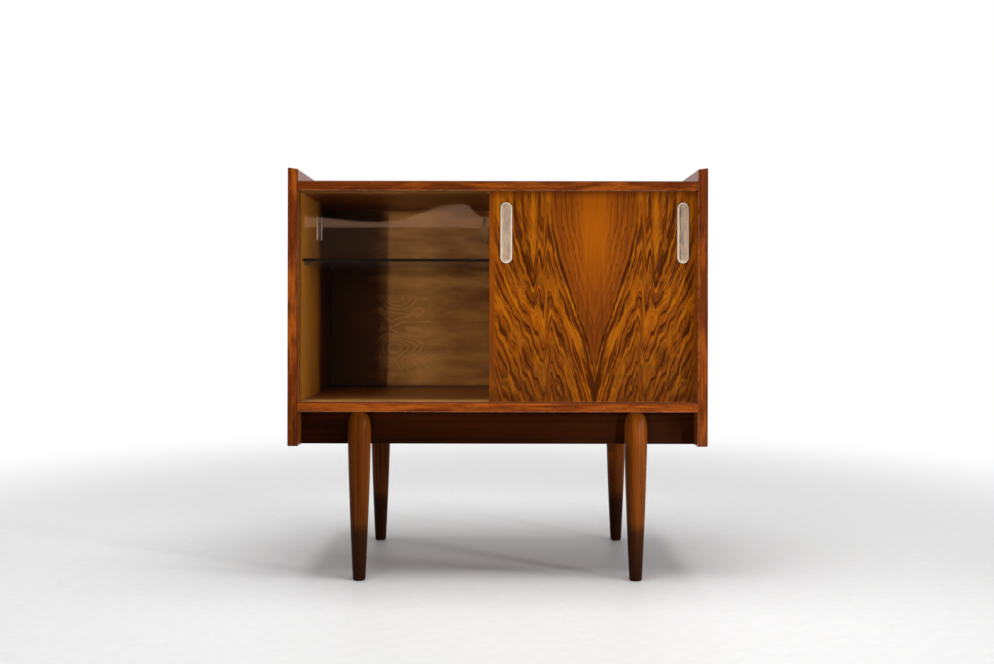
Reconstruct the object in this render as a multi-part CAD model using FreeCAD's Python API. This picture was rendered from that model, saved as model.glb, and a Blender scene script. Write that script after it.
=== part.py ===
# Mini bar cabinet: a veneered case on four turned legs, closed by one wooden and one glass sliding door.
# Millimetres, +Z up. The origin is on the floor under the middle of the case, and the front faces -Y.
import FreeCAD, Part
import math
import os
from FreeCAD import Vector

# Overall size
WIDTH = 800.0
DEPTH = 375.0
HEIGHT = 790.0
UNDER_CASE = 259.5          # floor to the lower ends of the sides

# Boards
BOARD = 19.0                # sides, top, bottom and aprons
LIPPING = 6.0               # solid wood strip glued to a board's front edge
BACK_SHEET = 4.0            # plywood back
REBATE_DEPTH = 4.5          # rebate that takes the back, from the rear edge
REBATE_WIDTH = 8.0
SIDE_RISE = 24.5            # how far the sides stand above the top
SIDE_TOP_FALL = 2.5         # the upper ends of the sides fall towards the middle
TOP_SETBACK = 3.0           # the top's front edge lies behind those of the sides
APRON_HEIGHT = 65.0
APRON_SETBACK = 38.0        # apron face behind the case's front, and the same at the rear
LIPPING_ROUND = 2.0         # arris of the sides' lippings
SIDE_ARRIS = 2.2            # upper and outer lower arrises of the sides, from front to rear
REAR_ARRIS = 1.0            # outer rear arrises of the sides
APRON_ARRIS = 1.5           # lower arrises of the aprons
EDGE_ROUND = 3.5            # softer arris of the top's and bottom's lippings

# Sliding doors and their grooves, counted from the case's front
DOOR_WIDTH = 404.0
DOOR_THICK = 10.0
PANE_THICK = 4.0
GROOVE_PLAY = 0.5           # free space on each face of a door in its groove
DOOR_GROOVE = 16.0          # front of the wooden door's groove
PANE_GROOVE = 30.0          # front of the pane's groove
FLOOR_GROOVE_DEPTH = 5.0
ROOF_GROOVE_DEPTH = 10.0    # deep enough to lift a door out of the lower groove
SIDE_GROOVE_DEPTH = 8.0
DOOR_END_PLAY = 1.5         # door edge to the bottom of the side groove
DOOR_LIFT = 5.0             # free height above a door in the upper groove
DOOR_ARRIS = 0.8
PANE_ARRIS = 0.5

# Recessed cup pulls of the wooden door
PULL_LENGTH = 117.0
PULL_WIDTH = 22.5
PULL_RIM = 3.0              # width of the rim round the recess
PULL_RIM_PROUD = 1.2
PULL_WALL = 1.5
PULL_DEPTH = 7.0            # recess depth below the door's face
PULL_FLOOR = 1.2
PULL_FLOOR_ROUND = 4.5
PULL_RIM_ROUND = 0.8
PULL_INSET = 32.5           # door edge to the middle of a pull
PULL_HEIGHT = 667.5         # middle of a pull above the floor
PULL_FIT = 0.1              # free space round a pull in its slot

# Thumb grips ground into the pane
GRIP_LENGTH = 45.5
GRIP_WIDTH = 10.5
GRIP_DEPTH = 1.6
GRIP_INSET = 42.5
GRIP_HEIGHT = 676.0
GRIP_CORNER = 2.0
GRIP_FLOOR_ROUND = 1.2

# Glass shelf and its pins
SHELF_THICK = 6.0
SHELF_TOP = 619.0
SHELF_FRONT = 40.0          # behind the case's front
SHELF_DEEP = 325.0
SHELF_ARRIS = 1.0
PIN_RADIUS = 2.5
PIN_HOLE_DEPTH = 10.0
PIN_COLLAR_RADIUS = 5.0
PIN_COLLAR = 1.0
PIN_PEG_RADIUS = 3.0
PIN_PEG = 9.0
PIN_INSET = 35.0            # shelf edge to a pin
PIN_FIT = 0.05
SHELF_END_PLAY = 0.5        # shelf end to the pin collars

# Turned legs: radius at each change in the profile, and its height above the floor or below the bottom board
LEG_X = 266.0
LEG_INSET = 23.5            # leg axis behind the case's front, and the same at the rear
FOOT_RADIUS = 12.1
FOOT_CHAMFER = 2.2
CALF_RADIUS = 18.2
CALF_Z = 138.0
THIGH_RADIUS = 22.0
THIGH_Z = 264.0
THIGH_BULGE = 0.25          # of the flat curve from thigh to neck
NECK_RADIUS = 21.3
NECK_BELOW = 26.0
SHOULDER_RADIUS = 18.2
SHOULDER_BELOW = 11.5
CROWN_RADIUS = 11.5

# Coach screws that hold the legs to the aprons
SCREW_RADIUS = 3.0
SCREW_CLEARANCE = 0.3
SCREW_FIT = 0.05
SCREW_IN_LEG = 22.0
SCREW_HEAD_FLATS = 10.0
SCREW_HEAD = 4.0
SCREW_SPREAD = 29.0         # between the two screws of a leg
SCREW_CHAMFER = 0.6
WASHER_RADIUS = 9.0
WASHER = 1.5
HOLE_SPARE = 2.0            # depth of a blind hole past the tip of a screw or dowel
TIP_SPARE = 0.5             # the same in a side, for a dowel or shelf pin

# Dowels and glue blocks
DOWEL_RADIUS = 4.0
DOWEL_FIT = 0.05
DOWEL_IN_SIDE = 12.0
DOWEL_IN_BOARD = 24.0
DOWEL_CHAMFER = 1.0
DOWEL_ROWS = (-120.0, -30.0, 60.0, 150.0)
APRON_DOWEL_SPREAD = 32.0
BLOCK_LEG = 24.0            # short sides of a three-cornered glue block
BLOCK_LENGTH = 80.0
BLOCK_PLACES = (-170.0, 0.0, 170.0)

# Places that follow from the sizes above
FRONT = -DEPTH / 2
BACK = DEPTH / 2
INNER_X = WIDTH / 2 - BOARD
TOP_UPPER = HEIGHT - SIDE_RISE
TOP_LOWER = TOP_UPPER - BOARD
FLOOR_LOWER = UNDER_CASE + APRON_HEIGHT
FLOOR_UPPER = FLOOR_LOWER + BOARD
SHEET_FRONT = BACK - REBATE_DEPTH
DOOR_BOTTOM = FLOOR_UPPER - FLOOR_GROOVE_DEPTH
DOOR_TOP = TOP_LOWER + ROOF_GROOVE_DEPTH - DOOR_LIFT
DOOR_EDGE = INNER_X + SIDE_GROOVE_DEPTH - DOOR_END_PLAY
DOOR_MIDDLE = DOOR_EDGE - DOOR_WIDTH / 2
DOOR_FACE = FRONT + DOOR_GROOVE + GROOVE_PLAY
PANE_FACE = FRONT + PANE_GROOVE + GROOVE_PLAY
PIN_Z = SHELF_TOP - SHELF_THICK - PIN_PEG_RADIUS
APRON_Z = UNDER_CASE + APRON_HEIGHT / 2
SCREW_LEVELS = (APRON_Z - SCREW_SPREAD / 2, APRON_Z + SCREW_SPREAD / 2)
SIDES = (-1, 1)
TOUCH = 1e-4                # lengths below this count as none


def box(x, y, z):
    """A box between two places on each axis."""
    return Part.makeBox(x[1] - x[0], y[1] - y[0], z[1] - z[0], Vector(x[0], y[0], z[0]))


def rod(radius, start, end):
    """A cylinder from one point to another."""
    return Part.makeCylinder(radius, (end - start).Length, start, end - start)


def prism(corners, along):
    """A solid swept from a closed outline."""
    return Part.Face(Part.makePolygon(corners + corners[:1])).extrude(along)


def rounded(shape, radius, chosen):
    """The shape with the chosen edges rounded."""
    return shape.makeFillet(radius, [edge for edge in shape.Edges if chosen(edge)])


def lies_at(edge, axis, place):
    """Whether all of an edge lies at one place on an axis, 0 to 2."""
    limits = edge.BoundBox
    low = (limits.XMin, limits.YMin, limits.ZMin)[axis]
    high = (limits.XMax, limits.YMax, limits.ZMax)[axis]
    return abs(low - place) < TOUCH and abs(high - place) < TOUCH


def runs_along(edge, axis):
    """Whether a straight edge is parallel to an axis, 0 to 2."""
    ends = edge.Vertexes
    step = ends[-1].Point - ends[0].Point
    return step.Length > TOUCH and abs(abs(step[axis]) - step.Length) < TOUCH


def stadium(middle, width, length, depth):
    """An upright slot shape with round ends, from its face back along +Y."""
    radius = width / 2
    reach = length / 2 - radius
    left = middle + Vector(-radius, 0, 0)
    right = middle + Vector(radius, 0, 0)
    up = Vector(0, 0, reach)
    tip = Vector(0, 0, reach + radius)
    outline = Part.Wire([
        Part.LineSegment(left - up, left + up).toShape(),
        Part.Arc(left + up, middle + tip, right + up).toShape(),
        Part.LineSegment(right + up, right - up).toShape(),
        Part.Arc(right - up, middle - tip, left - up).toShape(),
    ])
    return Part.Face(outline).extrude(Vector(0, depth, 0))


def dowel_places(side):
    """Where dowels cross from a side into the boards between the sides, as points on the joint."""
    joint = side * INNER_X
    levels = (TOP_UPPER - BOARD / 2, FLOOR_LOWER + BOARD / 2)
    return [Vector(joint, y, z) for z in levels for y in DOWEL_ROWS]


def apron_dowel_places(side):
    """Where dowels cross from a side into the front and rear aprons."""
    joint = side * INNER_X
    half = APRON_DOWEL_SPREAD / 2
    middles = (FRONT + APRON_SETBACK + BOARD / 2, BACK - APRON_SETBACK - BOARD / 2)
    return [Vector(joint, y, APRON_Z + dz) for y in middles for dz in (-half, half)]


def dowel_hole(place, side):
    """The hole for one dowel, in both boards of the joint."""
    outwards = Vector(side, 0, 0)
    start = place - outwards * (DOWEL_IN_BOARD + HOLE_SPARE)
    return rod(DOWEL_RADIUS, start, place + outwards * (DOWEL_IN_SIDE + TIP_SPARE))


def dowel(place, side):
    """A dowel with chamfered ends, across a joint."""
    outwards = Vector(side, 0, 0)
    pin = rod(DOWEL_RADIUS - DOWEL_FIT, place - outwards * DOWEL_IN_BOARD, place + outwards * DOWEL_IN_SIDE)
    ends = [edge for edge in pin.Edges if edge.Closed and len(edge.Vertexes) == 1]
    return pin.makeChamfer(DOWEL_CHAMFER, ends)


def pin_places(side):
    """Where the shelf pins leave a side's inner face."""
    rows = (FRONT + SHELF_FRONT + PIN_INSET, FRONT + SHELF_FRONT + SHELF_DEEP - PIN_INSET)
    return [Vector(side * INNER_X, y, PIN_Z) for y in rows]


def door_grooves(x, z):
    """The two grooves that the doors run in, as cutters over a range of X and Z."""
    wood = (FRONT + DOOR_GROOVE, FRONT + DOOR_GROOVE + DOOR_THICK + 2 * GROOVE_PLAY)
    glass = (FRONT + PANE_GROOVE, FRONT + PANE_GROOVE + PANE_THICK + 2 * GROOVE_PLAY)
    return [box(x, wood, z), box(x, glass, z)]


def side_slab(side, y):
    """A slice of a side between two depths, with a sloping upper end. Only its inner lower arris is sharp."""
    outer = side * WIDTH / 2
    inner = side * INNER_X
    outline = [
        Vector(outer, y[0], UNDER_CASE),
        Vector(inner, y[0], UNDER_CASE),
        Vector(inner, y[0], HEIGHT - SIDE_TOP_FALL),
        Vector(outer, y[0], HEIGHT),
    ]
    slab = prism(outline, Vector(0, y[1] - y[0], 0))

    def soft(edge):
        inner_foot = lies_at(edge, 0, inner) and lies_at(edge, 2, UNDER_CASE)
        return runs_along(edge, 1) and not inner_foot

    return rounded(slab, SIDE_ARRIS, soft)


def side_panel(side):
    """A side with its door grooves, back rebate, dowel holes and shelf pin holes."""
    panel = side_slab(side, (FRONT + LIPPING, BACK))
    outer = side * WIDTH / 2
    panel = rounded(panel, REAR_ARRIS, lambda edge: lies_at(edge, 1, BACK) and lies_at(edge, 0, outer))
    depth = sorted((side * INNER_X, side * (INNER_X + SIDE_GROOVE_DEPTH)))
    cutters = door_grooves(depth, (DOOR_BOTTOM, TOP_LOWER + ROOF_GROOVE_DEPTH))
    rebate = sorted((side * INNER_X, side * (INNER_X + REBATE_WIDTH)))
    cutters.append(box(rebate, (SHEET_FRONT, BACK), (FLOOR_LOWER, TOP_UPPER)))
    cutters += [dowel_hole(place, side) for place in dowel_places(side) + apron_dowel_places(side)]
    for place in pin_places(side):
        cutters.append(rod(PIN_RADIUS, place, place + Vector(side * PIN_HOLE_DEPTH, 0, 0)))
    return panel.cut(cutters)


def side_lipping(side):
    """The solid strip on a side's front edge, with its four front arrises rounded."""
    strip = side_slab(side, (FRONT, FRONT + LIPPING))
    return rounded(strip, LIPPING_ROUND, lambda edge: lies_at(edge, 1, FRONT))


def board_lipping(front, z):
    """The solid strip on the front edge of a board between the sides."""
    strip = box((-INNER_X, INNER_X), (front, front + LIPPING), z)
    return rounded(strip, EDGE_ROUND, lambda edge: lies_at(edge, 1, front) and runs_along(edge, 0))


def carcass_board(front, z, groove_z):
    """A board between the sides, with its door grooves and the dowel holes in its ends."""
    board = box((-INNER_X, INNER_X), (front, SHEET_FRONT), z)
    cutters = door_grooves((-INNER_X, INNER_X), groove_z)
    for side in SIDES:
        cutters += [dowel_hole(p, side) for p in dowel_places(side) if z[0] < p.z < z[1]]
    return board.cut(cutters)


def top_panel():
    return carcass_board(
        FRONT + TOP_SETBACK + LIPPING, (TOP_LOWER, TOP_UPPER), (TOP_LOWER, TOP_LOWER + ROOF_GROOVE_DEPTH))


def bottom_panel():
    return carcass_board(FRONT + LIPPING, (FLOOR_LOWER, FLOOR_UPPER), (DOOR_BOTTOM, FLOOR_UPPER))


def back_panel():
    """The plywood sheet in its rebates, over the rear edges of the top and bottom."""
    reach = INNER_X + REBATE_WIDTH
    return box((-reach, reach), (SHEET_FRONT, SHEET_FRONT + BACK_SHEET), (FLOOR_LOWER, TOP_UPPER))


def apron(faces):
    """A rail under the bottom: +1 faces the rear, -1 the front. Holes take its dowels and leg screws."""
    outer = faces * (DEPTH / 2 - APRON_SETBACK)
    inner = outer - faces * BOARD
    rail = box((-INNER_X, INNER_X), sorted((outer, inner)), (UNDER_CASE, FLOOR_LOWER))
    rail = rounded(rail, APRON_ARRIS, lambda edge: runs_along(edge, 0) and lies_at(edge, 2, UNDER_CASE))
    cutters = []
    for side in SIDES:
        cutters += [dowel_hole(p, side) for p in apron_dowel_places(side) if p.y * faces > 0]
        for z in SCREW_LEVELS:
            hole = (Vector(side * LEG_X, inner, z), Vector(side * LEG_X, outer, z))
            cutters.append(rod(SCREW_RADIUS + SCREW_CLEARANCE, *hole))
    return rail.cut(cutters)


def leg(side, faces):
    """A turned leg, flattened above the apron's lower edge so that it seats on the apron's face."""
    def at(radius, z):
        return Vector(radius, 0, z)

    def midway(a, b):
        return (a + b) * 0.5 + Vector(THIGH_BULGE, 0, 0)

    foot = at(FOOT_RADIUS, FOOT_CHAMFER)
    thigh = at(THIGH_RADIUS, THIGH_Z)
    neck = at(NECK_RADIUS, FLOOR_LOWER - NECK_BELOW)
    crown = at(CROWN_RADIUS, FLOOR_LOWER)
    profile = Part.Wire([
        Part.LineSegment(at(0, 0), at(FOOT_RADIUS - FOOT_CHAMFER, 0)).toShape(),
        Part.LineSegment(at(FOOT_RADIUS - FOOT_CHAMFER, 0), foot).toShape(),
        Part.Arc(foot, at(CALF_RADIUS, CALF_Z), thigh).toShape(),
        Part.Arc(thigh, midway(thigh, neck), neck).toShape(),
        Part.Arc(neck, at(SHOULDER_RADIUS, FLOOR_LOWER - SHOULDER_BELOW), crown).toShape(),
        Part.LineSegment(crown, at(0, FLOOR_LOWER)).toShape(),
        Part.LineSegment(at(0, FLOOR_LOWER), at(0, 0)).toShape(),
    ])
    turned = Part.Face(profile).revolve(Vector(0, 0, 0), Vector(0, 0, 1), 360)
    seat = faces * (DEPTH / 2 - APRON_SETBACK)
    turned.translate(Vector(side * LEG_X, faces * (DEPTH / 2 - LEG_INSET), 0))
    reach = 2 * THIGH_RADIUS
    across = (side * LEG_X - reach, side * LEG_X + reach)
    cutters = [box(across, sorted((seat, seat - faces * reach)), (UNDER_CASE, FLOOR_LOWER))]
    for z in SCREW_LEVELS:
        mouth = Vector(side * LEG_X, seat, z)
        cutters.append(rod(SCREW_RADIUS, mouth, mouth + Vector(0, faces * (SCREW_IN_LEG + HOLE_SPARE), 0)))
    return turned.cut(cutters)


def screw_places():
    """The middle of each leg screw's washer seat on an apron, and the way the screw points."""
    seats = []
    for side in SIDES:
        for faces in SIDES:
            inner = faces * (DEPTH / 2 - APRON_SETBACK - BOARD)
            seats += [(Vector(side * LEG_X, inner, z), Vector(0, faces, 0)) for z in SCREW_LEVELS]
    return seats


def leg_screw(seat, points):
    """A coach screw with a six-sided head, from its washer through the apron into a leg."""
    under_head = seat - points * WASHER
    tip = seat + points * (BOARD + SCREW_IN_LEG)
    shank = rod(SCREW_RADIUS - SCREW_FIT, under_head, tip)
    reach = SCREW_HEAD_FLATS / 2 / math.cos(math.pi / 6)
    turns = [math.radians(60 * i) for i in range(6)]
    corners = [under_head + Vector(reach * math.cos(t), 0, reach * math.sin(t)) for t in turns]
    head = prism(corners, points * -SCREW_HEAD)
    top = (under_head - points * SCREW_HEAD).y
    head = head.makeChamfer(SCREW_CHAMFER, [edge for edge in head.Edges if lies_at(edge, 1, top)])
    return shank.fuse(head).removeSplitter()


def leg_washer(seat, points):
    """A flat washer under a leg screw's head."""
    disc = rod(WASHER_RADIUS, seat - points * WASHER, seat)
    return disc.cut(rod(SCREW_RADIUS + SCREW_CLEARANCE, seat - points * WASHER, seat))


def glue_block(x, faces):
    """A three-cornered block in the angle between an apron and the bottom."""
    corner = faces * (DEPTH / 2 - APRON_SETBACK - BOARD)
    start = x - BLOCK_LENGTH / 2
    outline = [
        Vector(start, corner, FLOOR_LOWER),
        Vector(start, corner - faces * BLOCK_LEG, FLOOR_LOWER),
        Vector(start, corner, FLOOR_LOWER - BLOCK_LEG),
    ]
    return prism(outline, Vector(BLOCK_LENGTH, 0, 0))


def shelf():
    """The glass shelf, with its ground edges."""
    reach = INNER_X - PIN_COLLAR - SHELF_END_PLAY
    front = FRONT + SHELF_FRONT
    sheet = box((-reach, reach), (front, front + SHELF_DEEP), (SHELF_TOP - SHELF_THICK, SHELF_TOP))
    return rounded(sheet, SHELF_ARRIS, lambda edge: not runs_along(edge, 2))


def shelf_pin(place, side):
    """A stepped pin: shank in the side, collar against its face, and a peg under the shelf."""
    inwards = Vector(-side, 0, 0)
    shank = rod(PIN_RADIUS - PIN_FIT, place - inwards * (PIN_HOLE_DEPTH - TIP_SPARE), place)
    collar = rod(PIN_COLLAR_RADIUS, place, place + inwards * PIN_COLLAR)
    peg = rod(PIN_PEG_RADIUS, place + inwards * PIN_COLLAR, place + inwards * (PIN_COLLAR + PIN_PEG))
    return shank.fuse([collar, peg])


def pull_middle(side):
    """The middle of a cup pull, on the wooden door's face."""
    return Vector(DOOR_MIDDLE + side * (DOOR_WIDTH / 2 - PULL_INSET), DOOR_FACE, PULL_HEIGHT)


def pull_body_size():
    """Width and length of the part of a cup pull that sits in the door."""
    lap = PULL_RIM - PULL_WALL
    return PULL_WIDTH - 2 * lap, PULL_LENGTH - 2 * lap


def wood_door():
    """The wooden door, with a slot through it for each cup pull."""
    across = (DOOR_MIDDLE - DOOR_WIDTH / 2, DOOR_MIDDLE + DOOR_WIDTH / 2)
    door = box(across, (DOOR_FACE, DOOR_FACE + DOOR_THICK), (DOOR_BOTTOM, DOOR_TOP))
    door = rounded(door, DOOR_ARRIS, lambda edge: runs_along(edge, 2))
    width, length = pull_body_size()
    for side in SIDES:
        door = door.cut(stadium(pull_middle(side), width + 2 * PULL_FIT, length + 2 * PULL_FIT, DOOR_THICK))
    return door


def cup_pull(side):
    """A pressed cup pull: a rounded rim on the door's face round a trough with a curved floor."""
    face = pull_middle(side)
    proud = face - Vector(0, PULL_RIM_PROUD, 0)
    width, length = pull_body_size()
    rim = stadium(proud, PULL_WIDTH, PULL_LENGTH, PULL_RIM_PROUD)
    rim = rounded(rim, PULL_RIM_ROUND, lambda edge: lies_at(edge, 1, proud.y))
    cup = rim.fuse(stadium(face, width, length, PULL_DEPTH + PULL_FLOOR)).removeSplitter()
    recess_depth = PULL_DEPTH + PULL_RIM_PROUD
    recess = stadium(proud, PULL_WIDTH - 2 * PULL_RIM, PULL_LENGTH - 2 * PULL_RIM, recess_depth)
    recess = rounded(recess, PULL_FLOOR_ROUND, lambda edge: lies_at(edge, 1, proud.y + recess_depth))
    return cup.cut(recess)


def glass_door():
    """The glass door, with a thumb grip ground into its face near each edge."""
    middle = -DOOR_MIDDLE
    across = (middle - DOOR_WIDTH / 2, middle + DOOR_WIDTH / 2)
    pane = box(across, (PANE_FACE, PANE_FACE + PANE_THICK), (DOOR_BOTTOM, DOOR_TOP))
    pane = rounded(pane, PANE_ARRIS, lambda edge: not runs_along(edge, 1))
    for side in SIDES:
        place = Vector(middle + side * (DOOR_WIDTH / 2 - GRIP_INSET), PANE_FACE, GRIP_HEIGHT)
        half = Vector(GRIP_WIDTH / 2, 0, GRIP_LENGTH / 2)
        low, high = place - half, place + half
        grip = box((low.x, high.x), (PANE_FACE, PANE_FACE + GRIP_DEPTH), (low.z, high.z))
        grip = rounded(grip, GRIP_CORNER, lambda edge: runs_along(edge, 1))
        grip = rounded(grip, GRIP_FLOOR_ROUND, lambda edge: lies_at(edge, 1, PANE_FACE + GRIP_DEPTH))
        pane = pane.cut(grip)
    return pane


def build():
    """Every node's name and solids."""
    nodes = {
        "top_panel": [top_panel()],
        "top_lipping": [board_lipping(FRONT + TOP_SETBACK, (TOP_LOWER, TOP_UPPER))],
        "bottom_panel": [bottom_panel()],
        "bottom_lipping": [board_lipping(FRONT, (FLOOR_LOWER, FLOOR_UPPER))],
        "back_panel": [back_panel()],
        "front_apron": [apron(-1)],
        "rear_apron": [apron(1)],
        "glue_blocks": [glue_block(x, faces) for x in BLOCK_PLACES for faces in SIDES],
        "carcass_dowels": [dowel(place, side) for side in SIDES for place in dowel_places(side)],
        "apron_dowels": [dowel(place, side) for side in SIDES for place in apron_dowel_places(side)],
        "leg_screws": [leg_screw(*place) for place in screw_places()],
        "leg_washers": [leg_washer(*place) for place in screw_places()],
        "glass_shelf": [shelf()],
        "shelf_pins": [shelf_pin(place, side) for side in SIDES for place in pin_places(side)],
        "wood_door_panel": [wood_door()],
        "glass_door_pane": [glass_door()],
    }
    for side, hand in zip(SIDES, ("left", "right")):
        nodes[f"{hand}_side_panel"] = [side_panel(side)]
        nodes[f"{hand}_side_lipping"] = [side_lipping(side)]
        nodes[f"{hand}_cup_pull"] = [cup_pull(side)]
        for faces, end in zip(SIDES, ("front", "rear")):
            nodes[f"{end}_{hand}_leg"] = [leg(side, faces)]
    return nodes


def main():
    os.makedirs("parts", exist_ok=True)
    for name, solids in sorted(build().items()):
        shape = solids[0] if len(solids) == 1 else Part.makeCompound(solids)
        closed = all(s.isValid() and s.isClosed() for solid in solids for s in solid.Solids)
        print(f"{name:18s} solids {len(shape.Solids):2d}  volume {shape.Volume:12.1f}  closed {closed}")
        shape.exportStep(f"parts/{name}.step")


main()
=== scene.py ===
import math
from typing import NamedTuple

import bpy
from bpy.props import FloatProperty, FloatVectorProperty, IntProperty, PointerProperty
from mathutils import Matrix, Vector


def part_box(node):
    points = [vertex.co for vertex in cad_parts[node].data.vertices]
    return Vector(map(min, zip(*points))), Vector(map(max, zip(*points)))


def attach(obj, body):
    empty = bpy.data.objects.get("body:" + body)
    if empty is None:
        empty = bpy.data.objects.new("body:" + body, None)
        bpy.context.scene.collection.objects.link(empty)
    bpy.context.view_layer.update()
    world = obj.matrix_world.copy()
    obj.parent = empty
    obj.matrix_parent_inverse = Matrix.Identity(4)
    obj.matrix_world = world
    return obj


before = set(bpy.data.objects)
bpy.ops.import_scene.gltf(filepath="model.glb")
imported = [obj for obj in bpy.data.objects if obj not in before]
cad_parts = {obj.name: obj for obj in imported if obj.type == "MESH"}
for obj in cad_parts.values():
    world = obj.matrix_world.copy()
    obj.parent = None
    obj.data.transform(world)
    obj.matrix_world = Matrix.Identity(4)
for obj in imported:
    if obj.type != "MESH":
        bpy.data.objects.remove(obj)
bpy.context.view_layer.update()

bl_info = {
    "name": "Mini Bar Cabinet",
    "version": (1, 0, 0),
    "blender": (4, 5, 0),
    "location": "View3D > Sidebar > Cabinet",
    "description": "Finishes a veneered bar cabinet with sliding doors, and sets it on a plain stage",
    "category": "Object",
}

# Places read from the frame, in metres
DOOR_LOW, DOOR_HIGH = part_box("wood_door_panel")
DOOR_SEAM = (DOOR_LOW.x + DOOR_HIGH.x) / 2
DOOR_TALL = DOOR_HIGH.z - DOOR_LOW.z
PULL_LOW, PULL_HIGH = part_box("left_cup_pull")
PULL_OUT = DOOR_SEAM - (PULL_LOW.x + PULL_HIGH.x) / 2
PULL_RADIUS = (PULL_HIGH.x - PULL_LOW.x) / 2
PANE_LOW, PANE_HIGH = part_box("glass_door_pane")
BACK_LOW, BACK_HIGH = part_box("back_panel")
TOP_LOW, TOP_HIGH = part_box("top_panel")
FLOOR_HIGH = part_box("bottom_panel")[1]
CASE_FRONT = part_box("bottom_lipping")[0].y
INNER_X = TOP_HIGH.x
LEGS = ("front_left_leg", "front_right_leg", "rear_left_leg", "rear_right_leg")

# The photograph's frame and its vanishing point, in pixels
IMAGE_WIDTH = 994
IMAGE_HEIGHT = 664
VANISHING_POINT = (503, 310)
SENSOR = 36.0               # millimetres


def srgb(red, green, blue):
    """A screen colour of 0 to 255 as the linear numbers that shaders use."""
    def linear(level):
        level /= 255
        return level / 12.92 if level <= 0.04045 else ((level + 0.055) / 1.055) ** 2.4
    return linear(red), linear(green), linear(blue)


def colour_property(name, description, default):
    return FloatVectorProperty(
        name=name, description=description, subtype="COLOR", size=3, min=0.0, max=1.0, default=default)


def length_property(name, description, default):
    return FloatProperty(
        name=name, description=description, unit="LENGTH", min=0.0, default=default, precision=4)


def power_property(name, description, default):
    return FloatProperty(name=name, description=description, unit="POWER", default=default)


def strength_property(name, description, default):
    return FloatProperty(name=name, description=description, min=0.0, default=default)


class CabinetFinishes(bpy.types.PropertyGroup):
    """Colours of the woods, metals and glass."""
    door_light: colour_property("Door light", "Clear wood of the figured door", srgb(180, 92, 8))
    door_gold: colour_property("Door gold", "Golden streaks between the flames", srgb(196, 110, 12))
    door_middle: colour_property("Door middle", "Ground colour of the figured door", srgb(153, 76, 12))
    door_brown: colour_property("Door brown", "Broad dark bands of the door", srgb(110, 51, 10))
    door_dark: colour_property("Door dark", "Fine dark lines of the door", srgb(64, 25, 4))
    door_grey: colour_property("Door grey", "Clouds low on the door", srgb(92, 54, 20))
    case_light: colour_property("Case light", "Light grain of the sides and top", srgb(150, 78, 24))
    case_dark: colour_property("Case dark", "Dark grain of the sides and top", srgb(78, 34, 9))
    lipping_light: colour_property("Lipping light", "Light grain of the front edges", srgb(142, 66, 20))
    lipping_dark: colour_property("Lipping dark", "Dark grain of the front edges", srgb(76, 27, 9))
    lipping_orange: colour_property("Lipping orange", "Front edges with thin stain", srgb(184, 92, 24))
    # Partly wear, partly a painted highlight on the front edges
    lipping_rubbed_and_lit: colour_property("Lipping rubbed", "Front edges where they are rubbed", srgb(204, 132, 92))
    leg_light: colour_property("Leg light", "Light grain of the legs", srgb(137, 69, 14))
    leg_dark: colour_property("Leg dark", "Dark grain of the legs", srgb(57, 26, 6))
    # The aprons' colours are dark stain, made darker still as painted shade under the bottom's overhang
    apron_light: colour_property("Apron light", "Light grain of the aprons", srgb(56, 23, 6))
    apron_dark: colour_property("Apron dark", "Dark grain of the aprons", srgb(31, 12, 3))
    # Inside, the sides blend from this colour near the front, as painted light, to a darker one further back,
    # as painted shade
    inner_side: colour_property("Inner side", "Veneer of the sides inside the case", srgb(176, 106, 34))
    inner_top: colour_property("Inner top", "Veneer under the top", srgb(124, 72, 20))
    inner_floor: colour_property("Inner floor", "Veneer of the bottom inside the case", srgb(98, 56, 20))
    # Painted light on the strip inside the case's front, broken into patches that look like wear
    inner_lit_strip: colour_property("Inner worn", "Rubbed strip inside the case's front", srgb(192, 136, 76))
    ply_light: colour_property("Plywood light", "Light figure of the back", srgb(149, 95, 48))
    ply_dark: colour_property("Plywood dark", "Dark figure of the back", srgb(84, 44, 13))
    beech: colour_property("Beech", "Bare wood of dowels and blocks", srgb(190, 150, 104))
    aluminium: colour_property("Aluminium", "Cup pulls", srgb(250, 224, 196))
    # Partly wear, partly a painted highlight on the rims
    pull_rim_lit_and_rubbed: colour_property("Pull rim", "Rubbed rims of the cup pulls", srgb(255, 238, 216))
    zinc: colour_property("Zinc", "Leg screws and washers", srgb(176, 176, 172))
    nickel: colour_property("Nickel", "Shelf pins", srgb(150, 138, 122))
    glass: colour_property("Glass", "What long paths in the pane pass", (0.55, 0.86, 0.72))
    shelf_glass: colour_property("Shelf glass", "What long paths in the shelf pass", (0.08, 0.16, 0.10))


class CabinetPins(bpy.types.PropertyGroup):
    """Panel pins that hold the back."""
    spacing: length_property("Spacing", "Between two panel pins", 0.085)
    head: length_property("Head", "Radius of a pin's head", 0.0018)
    thickness: length_property("Thickness", "How far a head stands out of the plywood", 0.0004)
    seed: IntProperty(name="Seed", description="Varies how the pins are driven", default=7, min=0)


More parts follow.
